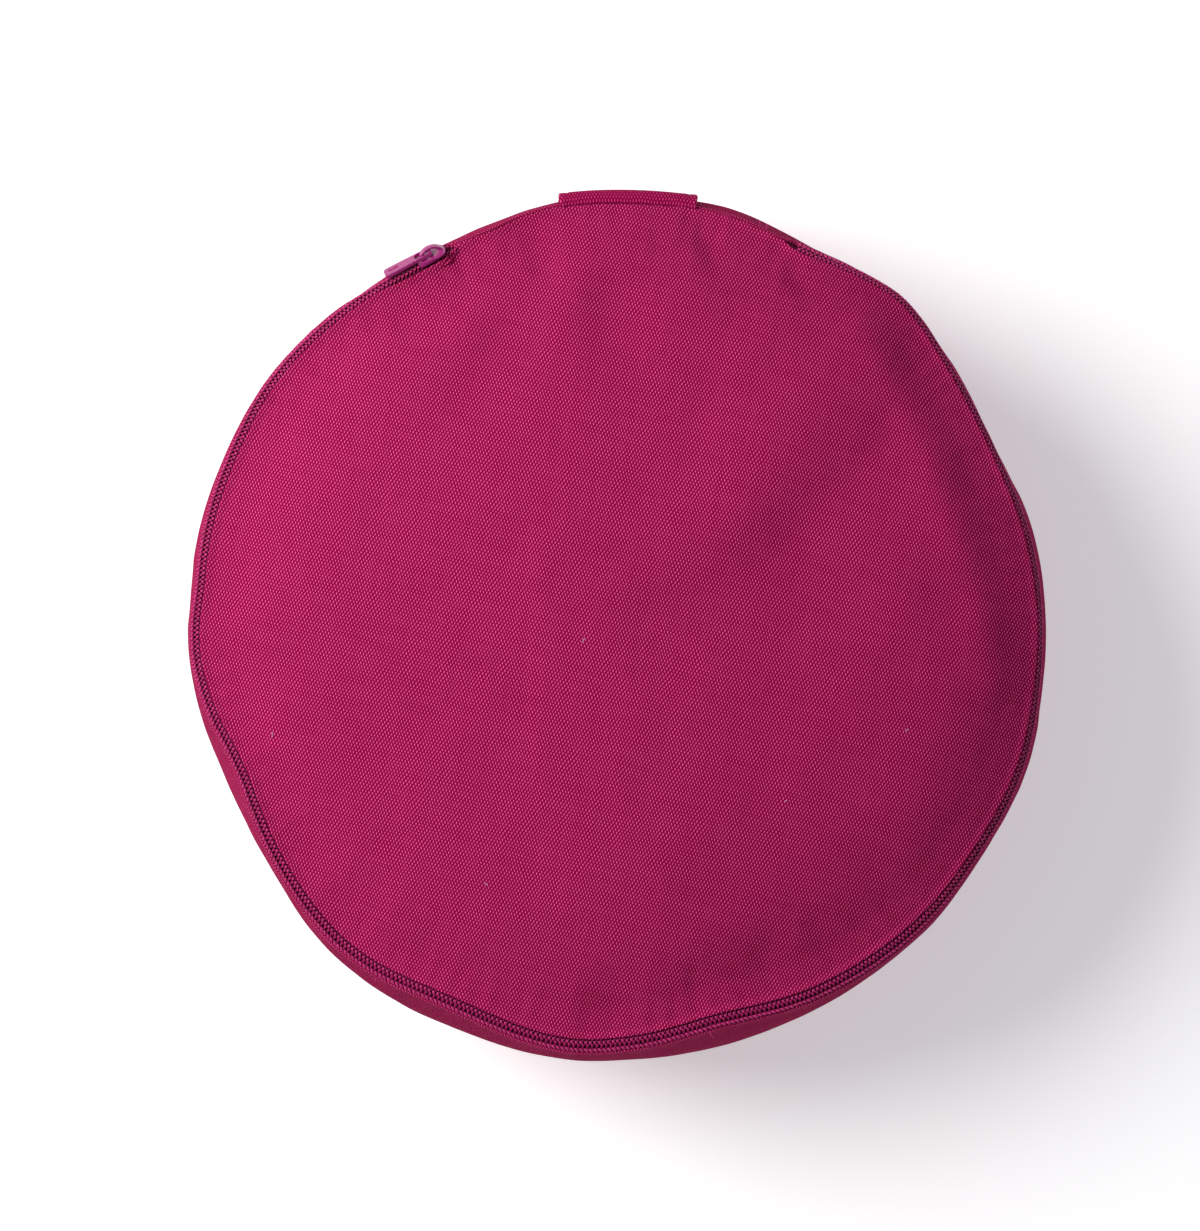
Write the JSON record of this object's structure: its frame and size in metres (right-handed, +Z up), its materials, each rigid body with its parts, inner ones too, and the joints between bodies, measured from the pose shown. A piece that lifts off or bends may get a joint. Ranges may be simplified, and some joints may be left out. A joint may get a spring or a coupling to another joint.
{
  "type": "zafu meditation cushion",
  "caption": "Round, tightly filled canvas floor cushion for sitting meditation, with a coil zip round its upper seam and a wide carrying strap at the back.",
  "frame": {"origin": "centre of the flat underside, on the surface that the cushion rests on", "axes": "+Z up out of the crown; +Y to the back, where the carrying strap is sewn in; +X to the right seen from above with the strap away from the viewer"},
  "size_m": [0.3282, 0.3381, 0.1509],
  "materials": {
    "canvas": "plain-woven raspberry cotton canvas, matt",
    "zip_coil": "dyed nylon coil with sewing thread, soft sheen",
    "zip_enamel": "purplish pink stoved enamel, glossy"
  },
  "bodies": {
    "root": {"side_band": "canvas", "top_panel": "canvas", "bottom_panel": "canvas", "handle": "canvas", "zip_coil_inner": "zip_coil", "zip_coil_outer": "zip_coil", "zip_slider": "zip_enamel", "zip_pull": "zip_enamel"}
  },
  "joints": []
}
